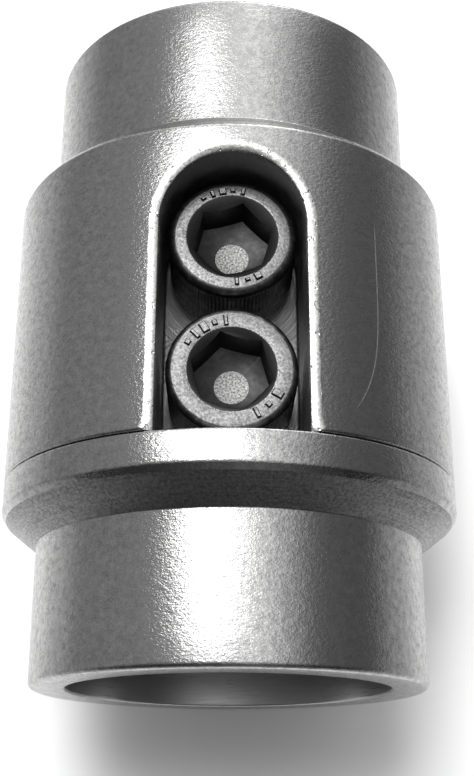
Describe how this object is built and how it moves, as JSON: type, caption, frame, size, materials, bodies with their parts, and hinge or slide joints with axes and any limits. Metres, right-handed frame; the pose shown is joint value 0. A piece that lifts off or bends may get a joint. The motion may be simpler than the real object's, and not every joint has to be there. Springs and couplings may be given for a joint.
{
  "type": "bolted half-lap tube coupling",
  "caption": "Rigid split coupling for round tube: two interlocking steel halves with hollow spigots, clamped by socket head cap screws in an open-ended pocket.",
  "frame": {"origin": "on the coupling's axis, midway between the two spigot ends", "axes": "+Y along the coupling's axis towards the slotted half's spigot, +Z out through the screw heads, +X to the right seen from above the screws"},
  "size_m": [0.0674, 0.0982, 0.0674],
  "materials": {
    "satin_steel": "turned and tumbled bare steel, satin with fine mottling",
    "blackened_steel": "black oxide, worn bright on the head's face",
    "spring_steel": "plain dark spring steel",
    "ground_steel": "fine ground"
  },
  "bodies": {
    "flanged_half": {"flanged_half": "satin_steel", "left_dowel_pin": "ground_steel", "right_dowel_pin": "ground_steel"},
    "slotted_half": {"slotted_half": "satin_steel"},
    "lower_washer": {"lower_lock_washer": "spring_steel"},
    "lower_screw": {"lower_cap_screw": "blackened_steel"},
    "upper_washer": {"upper_lock_washer": "spring_steel"},
    "upper_screw": {"upper_cap_screw": "blackened_steel"}
  },
  "joints": [
    {"name": "half_lift_off", "type": "slide", "parent": "flanged_half", "child": "slotted_half", "axis": [0, 0, 1], "range_m": [0, 0.04]},
    {"name": "lower_screw_rise", "type": "slide", "parent": "slotted_half", "child": "lower_washer", "axis": [0, 0, 1], "range_m": [0, 0.02187]},
    {"name": "lower_screw_turn", "type": "hinge", "parent": "lower_washer", "child": "lower_screw", "pos_m": [0, -0.01, 0.0273], "axis": [0, 0, 1], "range_deg": [0, 4505]},
    {"name": "upper_screw_rise", "type": "slide", "parent": "slotted_half", "child": "upper_washer", "axis": [0, 0, 1], "range_m": [0, 0.02187]},
    {"name": "upper_screw_turn", "type": "hinge", "parent": "upper_washer", "child": "upper_screw", "pos_m": [0, 0.0098, 0.0273], "axis": [0, 0, 1], "range_deg": [0, 4505]}
  ],
  "couplings": [
    {"joint": "lower_screw_turn", "follows": "lower_screw_rise", "rad_per_m": 3590.4},
    {"joint": "upper_screw_turn", "follows": "upper_screw_rise", "rad_per_m": 3590.4}
  ]
}
